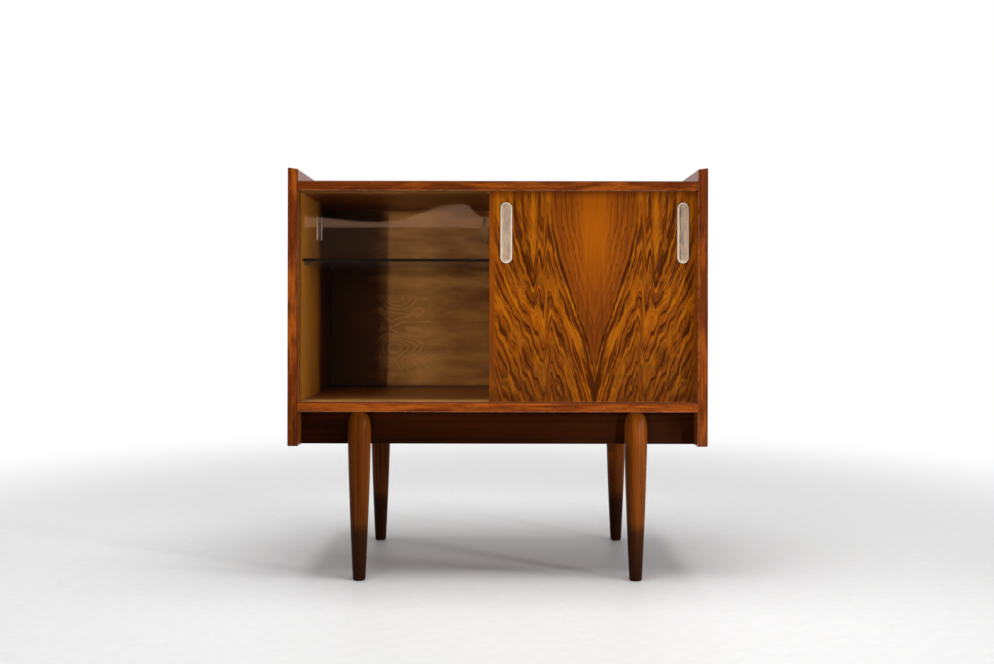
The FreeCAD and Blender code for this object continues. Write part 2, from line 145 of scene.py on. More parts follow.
class CabinetStage(bpy.types.PropertyGroup):
    """Floor, light and camera."""
    floor: colour_property("Floor", "Colour of the floor", srgb(245, 245, 245))
    floor_radius: length_property("Floor radius", "Radius of the floor", 9.0)
    key_power: power_property("Key", "Hard lamp on the left", 150.0)
    side_power: power_property("Side", "Lamp on the right", 2.0)
    edge_power: power_property("Edge", "Lamp on the far right", 1.4)
    left_leg_power: power_property("Left leg", "Low beam on the left front leg", 19.0)
    right_leg_power: power_property("Right leg", "Low beam on the right front leg", 135.0)
    top_power: power_property("Top", "Lamp overhead", 48.0)
    sky: strength_property("Sky", "Strength of the light from above", 0.6)
    side_sky: strength_property("Side sky", "Strength of the light from the sides", 0.14)
    room: strength_property("Room", "Strength of the room in front", 0.01)
    panel: strength_property("Panel", "Strength of the warm wall in the room", 1.25)
    camera_distance: length_property("Camera distance", "Camera to the case's front", 1.836)
    camera_height: length_property("Camera height", "Camera above the floor", 0.5193)
    camera_x: length_property("Camera offset", "Camera to the right of the middle", 0.010)
    camera_roll: FloatProperty(
        name="Camera roll", description="Turn about the line of sight", subtype="ANGLE",
        default=math.radians(-0.1))
    focal_pixels: FloatProperty(name="Focal length", description="In pixels of the photograph", default=966.0)


class Field:
    """A value that varies over a surface: one node socket, with arithmetic."""

    def __init__(self, finish, socket):
        self.finish = finish
        self.socket = socket

    def __add__(self, other):
        return self.finish.math("ADD", self, other)

    def __sub__(self, other):
        return self.finish.math("SUBTRACT", self, other)

    def __rsub__(self, other):
        return self.finish.math("SUBTRACT", other, self)

    def __mul__(self, other):
        return self.finish.math("MULTIPLY", self, other)

    def __truediv__(self, other):
        return self.finish.math("DIVIDE", self, other)

    def __abs__(self):
        return self.finish.math("ABSOLUTE", self)

    def power(self, exponent):
        return self.finish.math("POWER", self, exponent)

    def either(self, other):
        """The greater of two fields at each place."""
        return self.finish.math("MAXIMUM", self, other)

    def step(self, low, high):
        """0 up to low, 1 from high, and a smooth rise between them."""
        node = self.finish.add("ShaderNodeMapRange", interpolation_type="SMOOTHSTEP")
        for socket, value in zip(node.inputs, (self, low, high)):
            self.finish.put(socket, value)
        return Field(self.finish, node.outputs[0])


class Finish:
    """A node tree for one finish, with short ways to add its nodes."""

    def __init__(self, tree):
        self.tree = tree
        tree.nodes.clear()

    def add(self, kind, **settings):
        node = self.tree.nodes.new(kind)
        for name, value in settings.items():
            setattr(node, name, value)
        return node

    def put(self, socket, value):
        """Links a field or socket to an input, or sets it to a constant."""
        if isinstance(value, Field):
            value = value.socket
        if isinstance(value, bpy.types.NodeSocket):
            self.tree.links.new(value, socket)
        elif hasattr(value, "__len__") and len(value) == 3 and socket.type == "RGBA":
            socket.default_value = (*value, 1.0)
        else:
            socket.default_value = value

    def math(self, operation, *values):
        node = self.add("ShaderNodeMath", operation=operation)
        for socket, value in zip(node.inputs, values):
            self.put(socket, value)
        return Field(self, node.outputs[0])

    def vector(self, x, y, z):
        node = self.add("ShaderNodeCombineXYZ")
        for socket, value in zip(node.inputs, (x, y, z)):
            self.put(socket, value)
        return node.outputs[0]

    def noise(self, a, b, c=0.0, detail=2.0, roughness=0.5):
        """Soft noise from 0 to 1 about 0.5, with features about one unit long on each axis."""
        node = self.add("ShaderNodeTexNoise")
        self.put(node.inputs["Vector"], self.vector(a, b, c))
        for name, value in (("Scale", 1.0), ("Detail", detail), ("Roughness", roughness)):
            node.inputs[name].default_value = value
        return Field(self, node.outputs[0])

    def curve(self, field, points, corners="AUTO"):
        """A curve through a few points, from 0..1 to 0..1. VECTOR corners are sharp, others smooth."""
        node = self.add("ShaderNodeFloatCurve")
        self.put(node.inputs["Value"], field)
        line = node.mapping.curves[0]
        while len(line.points) < len(points):
            line.points.new(0.5, 0.5)
        for point, place in zip(line.points, points):
            point.location = place
            point.handle_type = corners
        node.mapping.update()
        return Field(self, node.outputs[0])

    def ramp(self, field, *stops):
        """A colour by value: each stop is a place from 0 to 1 and a colour."""
        node = self.add("ShaderNodeValToRGB")
        steps = node.color_ramp.elements
        while len(steps) < len(stops):
            steps.new(1.0)
        for element, (place, colour) in zip(steps, stops):
            element.position = place
            element.color = (*colour, 1.0)
        self.put(node.inputs[0], field)
        return node.outputs[0]

    def mix(self, share, first, second):
        """A colour between two, with the given share of the second."""
        node = self.add("ShaderNodeMix", data_type="RGBA")
        self.put(node.inputs[0], share)
        self.put(node.inputs[6], first)
        self.put(node.inputs[7], second)
        return node.outputs[2]

    def bump(self, height, depth, strength):
        node = self.add("ShaderNodeBump")
        node.inputs["Strength"].default_value = strength
        node.inputs["Distance"].default_value = depth
        self.put(node.inputs["Height"], height)
        return node.outputs[0]


class Surface(Finish):
    """A material around one Principled shader, with the piece's own X, Y and Z in metres."""

    def __init__(self, name, **constants):
        self.material = bpy.data.materials.new(name)
        self.material.use_nodes = True
        super().__init__(self.material.node_tree)
        self.output = self.add("ShaderNodeOutputMaterial")
        self.shader = self.add("ShaderNodeBsdfPrincipled")
        self.put(self.output.inputs["Surface"], self.shader.outputs[0])
        split = self.add("ShaderNodeSeparateXYZ")
        self.put(split.inputs[0], self.add("ShaderNodeTexCoord").outputs["Object"])
        self.x, self.y, self.z = (Field(self, socket) for socket in split.outputs)
        for socket, value in constants.items():
            self.shader.inputs[socket.replace("_", " ")].default_value = value

    def show(self, colour, roughness=None, normal=None):
        """Gives the shader its varying inputs."""
        self.put(self.shader.inputs["Base Color"], colour)
        if roughness is not None:
            self.put(self.shader.inputs["Roughness"], roughness)
        if normal is not None:
            self.put(self.shader.inputs["Normal"], normal)
        return self.material


LACQUER = {"Coat_Weight": 0.1, "Coat_Roughness": 0.16, "Specular_IOR_Level": 0.16}


def grain(surface, along, across, depth, light, dark, seed, line=0.009, wander=0.012):
    """Straight-grained wood with growth lines, fibres and pores. Gives colour, roughness and bump."""
    drift = surface.noise(along / 0.35, across / 0.09, depth / 0.09 + seed, detail=1.0) - 0.5
    ripple = surface.noise(along / 0.05, across / 0.02, depth / 0.02 + seed, detail=1.0) - 0.5
    place = across + drift * wander * 2 + ripple * 0.0016
    lines = surface.noise(place / line, along / 0.6, depth / (line * 2) + seed, detail=3.0, roughness=0.6)
    bands = surface.noise(place / (line * 5), along / 0.9, depth / 0.06 + seed, detail=1.0)
    fibres = surface.noise(place / 0.0011, along / 0.045, depth / 0.0011 + seed, detail=2.0)
    pores = surface.noise(place / 0.00045, along / 0.009, depth / 0.00045 + seed, detail=1.0).step(0.62, 0.72)
    tone = lines * 0.62 + bands * 0.3 + fibres * 0.22 - 0.07
    middle = tuple(a * 0.55 + b * 0.45 for a, b in zip(light, dark))
    colour = surface.ramp(tone, (0.3, dark), (0.46, middle), (0.62, light))
    colour = surface.mix(pores * 0.35, colour, dark)
    roughness = fibres * 0.16 + pores * 0.15 + 0.24
    normal = surface.bump(fibres * 0.5 - pores, 0.00012, 0.35)
    return colour, roughness, normal


# Where the finish changes inside the case: each pair is a fade, in metres from the face or edge named
SIDE_FACE = (0.0012, 0.0004)
BEHIND_FRONT = (0.0125, 0.0135)
LOWER_GROOVES = (0.0062, 0.0060)
UPPER_GROOVES = (0.0110, 0.0108)


def inside_case(surface):
    """1 on faces within the case behind the doors, and 0 outside it."""
    within = abs(surface.x).step(*(INNER_X + out for out in SIDE_FACE))
    behind_front = surface.y.step(*(CASE_FRONT + back for back in BEHIND_FRONT))
    above = surface.z.step(*(FLOOR_HIGH.z - down for down in LOWER_GROOVES))
    below = surface.z.step(*(TOP_LOW.z + up for up in UPPER_GROOVES))
    return within * behind_front * above * below


LIT_FRONT_STRIP = (0.27, 0.17)   # fade of the painted light on the sides inside, behind the case's front


def side_veneer(name, finishes, seed):
    """A side: upright plain-sawn veneer with a slow cathedral figure, yellower inside the case, with painted
    light near the front and painted shade further back.
    """
    surface = Surface(name, **LACQUER)
    middle = surface.noise(surface.z / 0.8, seed, 0.0, detail=0.0) * 0.16 - 0.06
    across = surface.y - middle
    reach = surface.z * 0.11 + 0.015
    ring = (across * across + reach * reach).power(0.5)
    colour, roughness, normal = grain(
        surface, surface.z, ring, surface.x, finishes.case_light, finishes.case_dark, seed)
    # Inside the case: painted light near the front, fading to painted shade further back
    lit_front = surface.y.step(*(CASE_FRONT + back for back in LIT_FRONT_STRIP))
    yellow = surface.mix(lit_front * 0.7, surface.mix(0.6, colour, finishes.case_dark), finishes.inner_side)
    colour = surface.mix(inside_case(surface), colour, yellow)
    return surface.show(colour, roughness, normal)


LIT_STRIP = 0.10           # strip of painted light on the top and bottom inside, behind the case's front


def board_veneer(name, finishes, inner, seed):
    """The top or the bottom: veneer with its grain from side to side, plainer inside the case."""
    surface = Surface(name, **LACQUER)
    colour, roughness, normal = grain(
        surface, surface.x, surface.y, surface.z, finishes.case_light, finishes.case_dark, seed)
    brown = surface.mix(0.7, colour, inner)
    # Painted light on a strip behind the case's front, broken into patches that look like wear
    rubbed_and_lit = surface.noise(surface.x / 0.09, surface.y / 0.012, seed, detail=3.0).step(0.3, 0.7) * 0.5 + 0.5
    wear_and_light = surface.y.step(CASE_FRONT + LIT_STRIP, CASE_FRONT + LIT_STRIP / 4) * rubbed_and_lit
    brown = surface.mix(wear_and_light * 0.9, brown, finishes.inner_lit_strip)
    colour = surface.mix(inside_case(surface), colour, brown)
    return surface.show(colour, roughness, normal)


def lipping_wood(node, finishes, upright, thin, seed):
    """Solid front edge, redder than the veneer, with darker patches, painted shade on one arris, and on the
    other edge a pale strip that is part wear and part painted highlight.
    Thin is how much more of it than usual has thin stain."""
    low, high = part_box(node)
    surface = Surface(f"{node}_wood", **LACQUER)
    along, across = (surface.z, surface.x) if upright else (surface.x, surface.z)
    first, last = (low.x, high.x) if upright else (low.z, high.z)
    colour, roughness, normal = grain(
        surface, along, across, surface.y, finishes.lipping_light, finishes.lipping_dark, seed, line=0.0045)
    patches = surface.noise(along / 0.045, across / 0.008, seed, detail=3.0, roughness=0.6).step(0.42, 0.72)
    streaks = surface.noise(along / 0.12, across / 0.0022, seed + 2.0, detail=2.0).step(0.52, 0.68)
    wear_and_light = surface.noise(along / 0.11, across / 0.02, seed + 3.0, detail=3.0) + thin
    colour = surface.mix(wear_and_light.step(0.42, 0.6) * 0.8, colour, finishes.lipping_orange)
    flecks = surface.noise(along / 0.009, across / 0.0016, seed + 5.0, detail=2.0)
    # Painted shade darkens the arris at the far edge
    arris = across.step(last - 0.003, last - 0.001)
    shade = (patches * 0.65).either(streaks * 0.7).either(flecks.step(0.56, 0.72) * 0.6).either(arris * 0.85)
    colour = surface.mix(shade, colour, finishes.lipping_dark)
    # A pale strip along the first edge: partly wear, partly a painted highlight
    rubbed_and_lit = across.step(first + 0.0026, first + 0.0006) * flecks.step(0.4, 0.6)
    colour = surface.mix(rubbed_and_lit * 0.5, colour, finishes.lipping_rubbed_and_lit)
    return surface.show(colour, roughness + arris * 0.5, normal)


def apron_wood(name, finishes, seed):
    """Stained rail under the bottom, duller than the boards above, and darkened further as painted shade from
    the bottom's overhang.
    """
    surface = Surface(name, Specular_IOR_Level=0.05)
    colour, roughness, normal = grain(
        surface, surface.x, surface.z, surface.y, finishes.apron_light, finishes.apron_dark, seed, line=0.007)
    return surface.show(colour, roughness, normal)


# Fades of the legs' darkening towards the foot and of the scuffs, from a height down to another
LEG_DARKENING = (0.22, 0.05)
FOOT_DARKENING = (0.13, 0.085)
FOOT_SCUFFS = (0.02, 0.0)


def leg_wood(name, finishes, node, seed):
    """Turned leg: the grain runs up the leg, the wood is darker towards the foot, and the foot is scuffed."""
    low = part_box(node)[0]
    surface = Surface(name, Specular_IOR_Level=0.05)
    across = surface.x - low.x
    depth = surface.y - low.y
    light, dark = finishes.leg_light, finishes.leg_dark
    colour, roughness, normal = grain(surface, surface.z, across, depth, light, dark, seed, line=0.006)
    deep = (surface.z.step(*LEG_DARKENING) * 0.4).either(surface.z.step(*FOOT_DARKENING) * 0.88)
    colour = surface.mix(deep, colour, tuple(c * 0.5 for c in dark))
    scuffs = surface.noise(across / 0.006, depth / 0.006, surface.z / 0.004, detail=3.0).step(0.5, 0.7)
    foot = surface.z.step(*FOOT_SCUFFS)
    colour = surface.mix(foot * scuffs * 0.6, colour, srgb(52, 30, 16))
    return surface.show(colour, roughness + foot * scuffs * 0.3, normal)


# The back's figure, in metres
LOOPS_X = -0.215            # middle of its loops
LOOPS_Z = 0.47
LIT_PATCH_Z = 0.595              # height of the brightest painted light on its inner face


def back_plywood(finishes):
    """Rotary-cut ply: cloudy ground with fine level fibres, and pale contour loops here and there."""
    surface = Surface("back_plywood", Specular_IOR_Level=0.04)
    x, z = surface.x, surface.z
    hills = surface.noise(x / 0.10, z / 0.07, 3.7, detail=0.0)
    waves = surface.noise(x / 0.025, z / 0.014, 1.3, detail=3.0)
    turns = hills * 15.0 + waves * 1.1
    knot = abs(x - LOOPS_X).step(0.075, 0.03) * abs(z - LOOPS_Z).step(0.11, 0.05)
    patches = surface.noise(x / 0.11, z / 0.08, 14.0, detail=1.0).step(0.46, 0.62) * x.step(0.0, 0.1)
    patches = patches.either(knot)
    faint = surface.noise(x / 0.02, z / 0.02, 6.0, detail=1.0).step(0.35, 0.6) * 0.7 + 0.3
    loops = surface.math("FRACT", turns).step(0.38, 0.05) * patches * faint
    fibres = surface.noise(x / 0.04, z / 0.0014, 5.0, detail=2.0)
    clouds = surface.noise(x / 0.1, z / 0.03, 9.0, detail=3.0)
    inner_face = surface.y.step(BACK_LOW.y + 0.0006, BACK_LOW.y + 0.0002)
    # On the inner face, painted light brightens a band round the loops and painted shade darkens the left end
    pale = abs(x - LOOPS_X).step(0.14, 0.02) * inner_face
    pale = pale * (abs(z - LIT_PATCH_Z).step(0.07, 0.0) * 0.5 + 1.0)
    left_end_shade = x.step(LOOPS_X - 0.03, LOOPS_X - 0.07) * inner_face
    tone = clouds * 0.75 + fibres * 0.22 + loops * 0.4 + pale * 0.22 - left_end_shade * 0.3 - 0.13
    colour = surface.ramp(tone, (0.25, finishes.ply_dark), (0.72, finishes.ply_light))
    # Painted shade along the foot of the back, in the corner where it meets the bottom
    corner_shade = z.step(FLOOR_HIGH.z + 0.007, FLOOR_HIGH.z + 0.002) * inner_face
    colour = surface.mix(corner_shade * 0.8, colour, srgb(34, 16, 6))
    roughness = fibres * 0.2 + 0.42
    return surface.show(colour, roughness, surface.bump(fibres + loops * 0.3, 0.00015, 0.4))


# Figure of the wooden door's veneer, in metres from the seam and up the door
DOOR_SPAN = 0.206           # seam to the far end of the figure's curves
FIGURE_RISE = 0.46          # height that the figure's lines climb over that span
DOOR_MARGIN = 0.196         # from here out the leaf is plain
STEP_RUN = 0.021            # length of one step in a line of the figure
STEP_RISE = 0.022           # its rise
RING_SPACING = 0.029        # between two veins
CONE_SPACING = 0.030        # between two fine lines of the clear cone
TOP_SHADOW = 0.018           # height of the painted shadow along the door's top, under the top's edge
# Dark lines that meet in a V, by their place across the lines of growth
MAIN_VEE = 0.056
OUTER_VEE = 0.070
SECOND_VEE = 0.031
FOOT_VEE = 0.020
# A line's climb against its distance from the seam, both as shares of the sizes above
LOW_LINES = [(0.0, 0.0), (0.09, 0.17), (0.24, 0.38), (0.40, 0.56), (0.47, 0.35), (0.72, 0.61), (1.0, 0.92)]
HIGH_LINES = [(0.0, 0.0), (0.09, 0.17), (0.31, 0.46), (0.44, 0.64), (0.48, 0.45), (0.52, 0.50), (0.565, 0.38),
              (0.74, 0.57), (1.0, 0.88)]
# Where a line starts at the seam, against height, both as shares of the door's height
SEAM_LEVELS = [(0.0, 0.0), (0.4, 0.4), (0.7, 0.69), (0.87, 0.79), (1.0, 0.82)]


class Growth(NamedTuple):
    """How the lines of growth lie on the door. Place counts across them: it is about 0.05 on the line that
    ends at the foot of the seam, and more inside the clear cone."""
    out: Field              # distance from the seam
    height: Field           # share of the door's height
    place: Field
    smooth: Field           # place with fewer nicks
    roll: Field             # slow drift
    nick: Field             # fine jitter
    plain: Field            # 1 on the plain margin
    figured: Field          # 1 outside the clear cone and the margin


def growth_lines(surface):
    """Lines of growth that climb away from the seam. Low down they zigzag, high up they fold twice."""
    z = surface.z
    out = abs(surface.x - DOOR_SEAM)
    share = out / DOOR_SPAN
    height = (z - DOOR_LOW.z) / DOOR_TALL
    low_lines = surface.curve(share, LOW_LINES, "VECTOR")
    high_lines = surface.curve(share, HIGH_LINES, "VECTOR")
    climb = low_lines + (high_lines - low_lines) * height.step(0.3, 0.62)
    level = surface.curve(height, SEAM_LEVELS)
    roll = surface.noise(out / 0.05, z / 0.09, 8.0, detail=1.0) - 0.5
    jag = surface.noise(out / 0.016, z / 0.06, 2.0, detail=1.0) - 0.5
    nick = surface.noise(out / 0.004, z / 0.04, 3.0, detail=2.0) - 0.5
    # Away from the seam the lines climb in steps
    sway = surface.noise(out / 0.09, z / 0.08, 12.0, detail=1.0) * 2.0
    steps = surface.math("PINGPONG", out / STEP_RUN + sway, 0.5) - 0.25
    rough = height.step(0.95, 0.3)
    course = level * DOOR_TALL - climb * FIGURE_RISE + roll * 0.025
    course = course + steps * out.step(0.03, 0.07) * (rough * 0.8 + 0.2) * STEP_RISE
    smooth = course + jag * (rough * 0.016 + 0.004) + nick * 0.005
    place = course + jag * (rough * 0.020 + 0.004) + nick * (rough * 0.020 + 0.005)
    plain = out.step(DOOR_MARGIN - 0.012, DOOR_MARGIN)
    figured = place.step(0.074, 0.052).either(out.step(0.088, 0.100)) * (1.0 - plain)
    return Growth(out, height, place, smooth, roll, nick, plain, figured)


def flames(surface, place, spacing, length, seed, feather):
    """Broken flames along the lines of growth: an even wave, upset by noise drawn out along the leaf."""
    drift = surface.noise(place / 0.09, surface.z / 0.12, seed + 3.0, detail=1.0)
    wave = surface.math("PINGPONG", place / spacing + drift * 1.5, 0.5)
    drawn = surface.noise(place / (spacing * 0.8), surface.z / length, seed, detail=2.0)
    return drawn + wave * 0.45 + feather


def from_pull(surface):
    """Distance to the straight middle line of the nearer cup pull, in metres."""
    across = abs(surface.x - DOOR_SEAM) - PULL_OUT
    half = (PULL_HIGH.z - PULL_LOW.z) / 2 - PULL_RADIUS
    beyond = (abs(surface.z - (PULL_LOW.z + PULL_HIGH.z) / 2) - half).either(0.0)
    return (across * across + beyond * beyond).power(0.5)


def vee_lines(growth, smudges):
    """Dark lines that meet in a V at the seam, and the V's dark foot."""
    out, height, place = growth.out, growth.height, growth.place
    main_vee = abs(place - MAIN_VEE).step(0.011, 0.004) * (smudges.step(0.3, 0.5) * 0.4 + 0.6)
    main_vee = main_vee * (height.step(0.9, 0.7) * 0.8 + 0.2)
    outer_vee = abs(place - OUTER_VEE).step(0.016, 0.005) * out.step(0.106, 0.114) * height.step(0.5, 0.6)
    second_vee = abs(place - SECOND_VEE).step(0.010, 0.003) * (smudges.step(0.34, 0.58) * 0.7 + 0.3)
    foot = abs(place - FOOT_VEE).step(0.024, 0.012) * out.step(0.030, 0.010)
    vees = (main_vee * 0.95).either(second_vee * 0.8)
    vees = vees.either(outer_vee * (smudges.step(0.3, 0.5) * 0.5 + 0.4))
    return vees.either(foot * 0.9)


def door_ground(surface, finishes, growth, fibres, streaks, smudges, tongues):
    """The door's colour under its veins: brown to gold, with grey clouds low down."""
    z = surface.z
    out, height, place, figured = growth.out, growth.height, growth.place, growth.figured
    bands = surface.noise(place / 0.03, out / 0.09, 6.0, detail=2.0)
    heart = height.step(0.35, 0.95) * out.step(0.06, 0.005)
    ground = bands * (figured * 0.6 + 0.3) + streaks * 0.3 + fibres * 0.2 + heart * 0.2 + 0.05
    ground = ground - figured * 0.2 + tongues * 0.22 - (1.0 - figured) * height.step(0.75, 0.3) * 0.1
    colour = surface.ramp(
        ground, (0.30, finishes.door_brown), (0.46, finishes.door_middle), (0.62, finishes.door_light))
    gold = surface.noise(place / 0.022, z / 0.06, 23.0, detail=2.0).step(0.48, 0.66) * figured
    colour = surface.mix(gold.either(tongues) * 0.85, colour, finishes.door_gold)
    low = height.step(0.42, 0.05) * out.step(0.01, 0.06)
    olive = surface.noise(place / 0.03, z / 0.05, 27.0, detail=2.0).step(0.5, 0.66) * figured * 0.35
    return surface.mix((low * smudges.step(0.25, 0.6) * 0.7).either(olive), colour, finishes.door_grey)


def door_veins(surface, finishes, growth, colour, fibres, tongues):
    """Adds brown late wood and fine lines to the ground, and gives how dark the veins and flames are."""
    z = surface.z
    place, figured = growth.place, growth.figured
    feather = (fibres - 0.5) * 0.3
    bold = flames(surface, place, 0.038, 0.09, 9.0, feather).step(0.64, 0.76)
    middling = flames(surface, place, 0.018, 0.06, 5.0, feather).step(0.60, 0.78)
    fine = flames(surface, place, 0.008, 0.035, 2.0, feather).step(0.52, 0.85)
    come_and_go = surface.noise(place / 0.035, z / 0.03, 19.0, detail=1.0).step(0.30, 0.46)
    rings = growth.smooth / RING_SPACING + growth.roll * 0.5
    veins = surface.math("PINGPONG", rings, 0.5).step(0.16, 0.07) * come_and_go
    late_wood = surface.math("FRACT", rings).step(0.4, 1.0) * come_and_go
    calm = 1.0 - growth.height.step(0.55, 0.9) * 0.65
    colour = surface.mix(late_wood * figured * calm * (0.8 - tongues * 0.6), colour, finishes.door_brown)
    colour = surface.mix(fine * figured * (0.5 - tongues * 0.3) * calm, colour, finishes.door_brown)
    cone_place = place / CONE_SPACING + growth.nick * 0.4 + growth.roll * 0.9
    cone_lines = surface.math("PINGPONG", cone_place, 0.5).step(0.14, 0.02)
    cone_lines = cone_lines * (1.0 - figured) * growth.out.step(0.012, 0.04) * (1.0 - growth.plain)
    colour = surface.mix(cone_lines * 0.95, colour, finishes.door_brown)
    shade = (bold * 0.8).either(middling * calm * 0.45).either(veins * (calm * 0.55 + 0.4))
    return colour, shade * (figured * 0.95 + 0.04) * (1.0 - tongues * 0.7)


def door_veneer(finishes):
    """Two mirrored leaves of figured walnut: a clear cone over flames that meet in a V at the seam."""
    surface = Surface("door_veneer", **LACQUER)
    x, z = surface.x, surface.z
    growth = growth_lines(surface)
    out, place = growth.out, growth.place
    fibres = surface.noise(x / 0.0012, z / 0.05, 1.0, detail=2.0)
    streaks = surface.noise(out / 0.006 + place * 3.0, z / 0.6, 4.0, detail=2.0)
    smudges = surface.noise(out / 0.013, z / 0.036, 5.0, detail=2.0)
    tongues = surface.noise(place / 0.045, z / 0.10, 17.0, detail=3.0).step(0.50, 0.62) * growth.figured
    pores = surface.noise(x / 0.0005, z / 0.009, 2.0, detail=1.0).step(0.62, 0.72)
    colour = door_ground(surface, finishes, growth, fibres, streaks, smudges, tongues)
    colour, shade = door_veins(surface, finishes, growth, colour, fibres, tongues)
    # The door is darker round the pulls, and along its top lies a painted shadow of the top's edge
    pull_edge = abs(from_pull(surface) - PULL_RADIUS - 0.0006).step(0.0012, 0.0004)
    top_shadow = z.step(TOP_LOW.z - TOP_SHADOW, TOP_LOW.z)
    shade = shade.either(vee_lines(growth, smudges)).either(pull_edge * 0.8).either(top_shadow * 0.6)
    colour = surface.mix(shade, colour, finishes.door_dark)
    rear = surface.y.step(DOOR_HIGH.y - 0.0012, DOOR_HIGH.y - 0.0004)
    plain_rear = surface.ramp(
        streaks * 0.6 + fibres * 0.4, (0.3, finishes.case_dark), (0.7, finishes.door_brown))
    colour = surface.mix(rear, colour, plain_rear)
    colour = surface.mix(pores * 0.25, colour, finishes.door_dark)
    roughness = fibres * 0.14 + pores * 0.12 + 0.3
    return surface.show(colour, roughness, surface.bump(fibres * 0.5 - pores, 0.0001, 0.3))


def bare_beech(finishes):
    """Unfinished wood of the dowels and glue blocks."""
    surface = Surface("bare_beech")
    x, y, z = surface.x, surface.y, surface.z
    flecks = surface.noise(x / 0.006, y / 0.0008, z / 0.0008, detail=1.0).step(0.6, 0.7)
    clouds = surface.noise(x / 0.05, y / 0.01, z / 0.01, detail=2.0)
    pale = tuple(min(1.0, c * 1.25) for c in finishes.beech)
    colour = surface.ramp(clouds, (0.3, finishes.beech), (0.7, pale))
    colour = surface.mix(flecks * 0.4, colour, srgb(132, 92, 56))
    return surface.show(colour, clouds * 0.2 + 0.5, surface.bump(flecks, 0.0001, 0.3))


def satin_aluminium(finishes):
    """Pressed and lightly brushed cup pulls, with faint handling marks that also stand in for painted
    reflection streaks, dirt spots, and painted shade near the cup's walls.
    """
    surface = Surface("satin_aluminium", Metallic=0.3)
    x, y, z = surface.x, surface.y, surface.z
    brushed = surface.noise(x / 0.0003, y / 0.0003, z / 0.012, detail=2.0)
    smears = surface.noise(x / 0.008, y / 0.008, z / 0.02, detail=3.0)
    grey = tuple(c * 0.8 for c in finishes.aluminium)
    dull = tuple(c * 0.3 for c in finishes.aluminium)
    colour = surface.ramp(smears, (0.36, grey), (0.56, finishes.aluminium))
    in_cup = y.step(PULL_LOW.y + 0.0008, PULL_LOW.y + 0.0025)
    # Near the cup's walls: painted shade, with dirt spots
    grime_and_shade_by_wall = from_pull(surface).step(PULL_RADIUS * 0.45, PULL_RADIUS * 0.7)
    # Handling marks, strengthened to stand in for painted reflection streaks
    marks = surface.noise(x / 0.005, 6.5, z / 0.035, detail=1.0).step(0.52, 0.7)
    spots = surface.noise(x / 0.007, 9.0, z / 0.008, detail=1.0).step(0.5, 0.7)
    shade = (marks * 0.4).either(spots * grime_and_shade_by_wall * 0.7).either(grime_and_shade_by_wall * 0.3) * in_cup
    colour = surface.mix(shade, colour, dull)
    # The rims are near white: partly wear, partly a painted highlight
    colour = surface.mix(1.0 - in_cup, colour, finishes.pull_rim_lit_and_rubbed)
    return surface.show(colour, brushed * 0.12 + smears * 0.2 + 0.36, surface.bump(brushed, 0.00003, 0.5))


def plated_steel(name, colour, roughness):
    """Plated hardware: cloudy zinc or nickel."""
    surface = Surface(name, Metallic=1.0)
    clouds = surface.noise(surface.x / 0.003, surface.y / 0.003, surface.z / 0.003, detail=3.0)
    dull = tuple(c * 0.7 for c in colour)
    shown = surface.ramp(clouds, (0.35, dull), (0.65, tuple(colour)))
    return surface.show(shown, clouds * 0.2 + roughness, surface.bump(clouds, 0.00005, 0.3))


GLASS_COLOUR = (0.985, 0.995, 0.99)
GLASS_SHADOW = (0.93, 0.96, 0.94)
PANE_DENSITY = 18.0
SHELF_DENSITY = 12.0
GROUND_ROUGHNESS = 0.45     # of the ground faces, over that of the sheet


def clear_glass(name, tint, density, ground=None):
    """Clear sheet glass, green through its edges. Ground is 1 where the face is ground matt."""
    surface = Surface(name, Transmission_Weight=1.0, IOR=1.5)
    surface.shader.inputs["Base Color"].default_value = (*GLASS_COLOUR, 1.0)
    smears = surface.noise(surface.x / 0.05, surface.y / 0.05, surface.z / 0.09, detail=3.0)
    roughness = smears.step(0.5, 0.8) * 0.012
    if ground is not None:
        roughness = roughness + ground(surface) * GROUND_ROUGHNESS
    surface.put(surface.shader.inputs["Roughness"], roughness)
    through = surface.add("ShaderNodeBsdfTransparent")
    through.inputs[0].default_value = (*GLASS_SHADOW, 1.0)
    paths = surface.add("ShaderNodeLightPath")
    both = surface.add("ShaderNodeMixShader")
    surface.put(both.inputs[0], paths.outputs["Is Shadow Ray"])
    surface.put(both.inputs[1], surface.shader.outputs[0])
    surface.put(both.inputs[2], through.outputs[0])
    surface.put(surface.output.inputs["Surface"], both.outputs[0])
    inside = surface.add("ShaderNodeVolumeAbsorption")
    inside.inputs["Color"].default_value = (*tint, 1.0)
    inside.inputs["Density"].default_value = density
    surface.put(surface.output.inputs["Volume"], inside.outputs[0])
    return surface.material


GRIP_INSET = 0.0425         # pane's edge to the middle of a thumb grip
GRIP_START = (0.02, 0.021)  # nearer the pane's edge than this there is no grip
GRIP_FLOOR = (0.0030, 0.0042)   # from the middle of a grip, where its floor turns into its walls


def in_thumb_grips(surface):
    """1 on the ground walls of the thumb grips, behind the pane's face, and less on their floors."""
    x, y = surface.x, surface.y
    below_face = y.step(PANE_LOW.y + 0.00005, PANE_LOW.y + 0.0002)
    front_half = y.step(PANE_LOW.y + 0.0022, PANE_LOW.y + 0.0020)
    inset = x.step(*(PANE_LOW.x + edge for edge in GRIP_START))
    inset = inset * x.step(*(PANE_HIGH.x - edge for edge in GRIP_START))
    middle = (PANE_LOW.x + PANE_HIGH.x) / 2
    grip_out = (PANE_HIGH.x - PANE_LOW.x) / 2 - GRIP_INSET
    walls = abs(abs(x - middle) - grip_out).step(*GRIP_FLOOR)
    return below_face * front_half * inset * (walls * 0.75 + 0.25)


def dress(node, material):
    """Gives a node of the frame its finish."""
    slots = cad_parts[node].data.materials
    slots.clear()
    slots.append(material)


def linked(name, data):
    """A new object in the scene."""
    thing = bpy.data.objects.new(name, data)
    bpy.context.scene.collection.objects.link(thing)
    return thing


